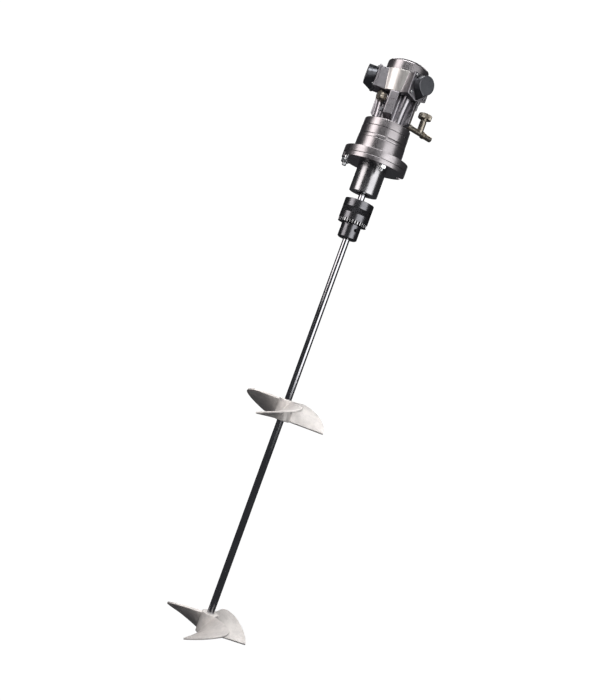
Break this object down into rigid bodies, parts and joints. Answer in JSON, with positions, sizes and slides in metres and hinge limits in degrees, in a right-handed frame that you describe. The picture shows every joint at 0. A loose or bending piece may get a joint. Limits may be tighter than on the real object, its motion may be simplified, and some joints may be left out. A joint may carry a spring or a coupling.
{
  "type": "air-driven drum mixer",
  "caption": "Air-driven drum mixer: radial-piston air motor, planetary gearbox with round flange, drill chuck and a long shaft with two propellers.",
  "frame": {"origin": "centre of the mounting flange's underside, on the shaft's axis", "axes": "+Z along the shaft, from the propellers towards the motor; -Y is the side with the bright crankcase wall, +X is to its right"},
  "size_m": [0.1625, 0.1506, 1.0625],
  "materials": {
    "gunmetal": "satin machined metal, darkened",
    "dark_gunmetal": "satin dark machined metal",
    "polished_steel": "polished turned steel",
    "zinc_steel": "bright zinc plating",
    "inner_steel": "ground steel",
    "black_oxide": "black oxide, semi-gloss",
    "jaw_steel": "hardened steel",
    "nickel_brass": "nickel-plated brass, worn",
    "cast_alloy": "cast alloy, satin",
    "seal_rubber": "nitrile rubber"
  },
  "bodies": {
    "root": {"motor_crankcase": "gunmetal", "motor_top_cover": "gunmetal", "cylinder_head_1": "dark_gunmetal", "cylinder_head_2": "dark_gunmetal", "cylinder_head_3": "dark_gunmetal", "valve_housing": "gunmetal", "neck_plug": "nickel_brass", "neck_screw": "zinc_steel", "crank_bearing_lower": "inner_steel", "crank_bearing_upper": "inner_steel", "inlet_adapter": "nickel_brass", "needle_valve_body": "nickel_brass", "hose_connector": "nickel_brass", "motor_adapter_ring": "gunmetal", "ring_gear": "gunmetal", "bearing_plate": "gunmetal", "carrier_bearing": "inner_steel", "gear_housing": "gunmetal", "spindle_flange": "polished_steel", "output_bearing_lower": "inner_steel", "output_bearing_upper": "inner_steel", "shaft_seal": "seal_rubber", "flange_bolt_1": "zinc_steel", "flange_bolt_2": "zinc_steel", "flange_bolt_3": "zinc_steel", "flange_nut_1": "zinc_steel", "flange_nut_2": "zinc_steel", "flange_nut_3": "zinc_steel"},
    "output": {"output_shaft": "polished_steel", "planet_pin_1": "inner_steel", "planet_pin_2": "inner_steel", "planet_pin_3": "inner_steel", "chuck_body": "black_oxide", "mixing_shaft": "polished_steel", "upper_propeller": "cast_alloy", "lower_propeller": "cast_alloy", "upper_propeller_set_screw": "zinc_steel", "lower_propeller_set_screw": "zinc_steel"},
    "crank": {"crankshaft": "inner_steel", "sun_gear": "inner_steel", "rotary_valve": "inner_steel"},
    "planet_1": {"planet_gear_1": "inner_steel"},
    "planet_2": {"planet_gear_2": "inner_steel"},
    "planet_3": {"planet_gear_3": "inner_steel"},
    "piston_1": {"piston_1": "inner_steel", "connecting_rod_1": "inner_steel"},
    "piston_2": {"piston_2": "inner_steel", "connecting_rod_2": "inner_steel"},
    "piston_3": {"piston_3": "inner_steel", "connecting_rod_3": "inner_steel"},
    "sleeve": {"chuck_sleeve": "black_oxide"},
    "jaw_1": {"chuck_jaw_1": "jaw_steel"},
    "jaw_2": {"chuck_jaw_2": "jaw_steel"},
    "jaw_3": {"chuck_jaw_3": "jaw_steel"},
    "needle": {"valve_needle": "inner_steel"},
    "knob": {"valve_knob": "nickel_brass"}
  },
  "joints": [
    {"name": "output_spin", "type": "hinge", "parent": "root", "child": "output", "pos_m": [0, 0, 0], "axis": [0, 0, 1], "continuous": true},
    {"name": "crank_spin", "type": "hinge", "parent": "root", "child": "crank", "pos_m": [0, 0, 0.15], "axis": [0, 0, 1], "continuous": true},
    {"name": "planet_spin_1", "type": "hinge", "parent": "output", "child": "planet_1", "pos_m": [0.0225, 0, 0.056], "axis": [0, 0, 1], "continuous": true},
    {"name": "planet_spin_2", "type": "hinge", "parent": "output", "child": "planet_2", "pos_m": [-0.01125, 0.01949, 0.056], "axis": [0, 0, 1], "continuous": true},
    {"name": "planet_spin_3", "type": "hinge", "parent": "output", "child": "planet_3", "pos_m": [-0.01125, -0.01949, 0.056], "axis": [0, 0, 1], "continuous": true},
    {"name": "piston_slide_1", "type": "slide", "parent": "root", "child": "piston_1", "axis": [0.5878, -0.809, 0], "range_m": [0, 0.019]},
    {"name": "piston_slide_2", "type": "slide", "parent": "root", "child": "piston_2", "axis": [0.4067, 0.9135, 0], "range_m": [0, 0.019]},
    {"name": "piston_slide_3", "type": "slide", "parent": "root", "child": "piston_3", "axis": [-0.9945, -0.1045, 0], "range_m": [0, 0.019]},
    {"name": "sleeve_turn", "type": "hinge", "parent": "output", "child": "sleeve", "pos_m": [0, 0, -0.086], "axis": [0, 0, 1], "range_deg": [0, 270]},
    {"name": "jaw_slide_1", "type": "slide", "parent": "output", "child": "jaw_1", "axis": [0.2588, 0.0045, 0.9659], "range_m": [0, 0.0015]},
    {"name": "jaw_slide_2", "type": "slide", "parent": "output", "child": "jaw_2", "axis": [-0.1333, 0.2219, 0.9659], "range_m": [0, 0.0015]},
    {"name": "jaw_slide_3", "type": "slide", "parent": "output", "child": "jaw_3", "axis": [-0.1255, -0.2264, 0.9659], "range_m": [0, 0.0015]},
    {"name": "needle_lift", "type": "slide", "parent": "root", "child": "needle", "axis": [0, 0, 1], "range_m": [0, 0.003]},
    {"name": "knob_turn", "type": "hinge", "parent": "needle", "child": "knob", "pos_m": [0.0583, 0.04393, 0.125], "axis": [0, 0, 1], "range_deg": [0, 1080]}
  ],
  "couplings": [
    {"joint": "crank_spin", "follows": "output_spin", "ratio": 4},
    {"joint": "planet_spin_1", "follows": "output_spin", "ratio": -3},
    {"joint": "planet_spin_2", "follows": "output_spin", "ratio": -3},
    {"joint": "planet_spin_3", "follows": "output_spin", "ratio": -3},
    {"joint": "jaw_slide_1", "follows": "sleeve_turn", "m_per_rad": 0.0003183},
    {"joint": "jaw_slide_2", "follows": "sleeve_turn", "m_per_rad": 0.0003183},
    {"joint": "jaw_slide_3", "follows": "sleeve_turn", "m_per_rad": 0.0003183},
    {"joint": "knob_turn", "follows": "needle_lift", "rad_per_m": 6283.2}
  ]
}
